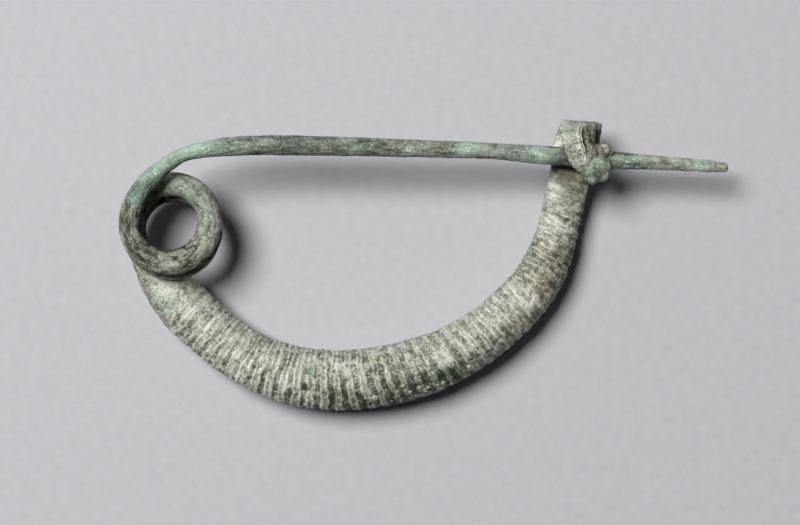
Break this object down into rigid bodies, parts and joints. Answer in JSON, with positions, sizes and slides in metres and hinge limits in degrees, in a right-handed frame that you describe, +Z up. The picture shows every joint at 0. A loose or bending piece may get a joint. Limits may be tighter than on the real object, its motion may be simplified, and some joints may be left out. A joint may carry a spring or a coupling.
{
  "type": "fibula brooch",
  "caption": "One-piece bronze bow brooch with a ribbed arched bow, a coiled spring and a long pin corroded fast in its folded catch.",
  "frame": {"origin": "on the plane that the brooch lies on, below the middle of its bounding box", "axes": "+X along the pin towards its point, +Y from the bow towards the pin, +Z up, out of the side that shows"},
  "size_m": [0.1, 0.0482, 0.0151],
  "materials": {
    "patinated_bronze": "dull, pitted green and grey patina on solid bronze, pale on the ribs and dark in the grooves"
  },
  "bodies": {
    "root": {"fibula": "patinated_bronze"}
  },
  "joints": []
}
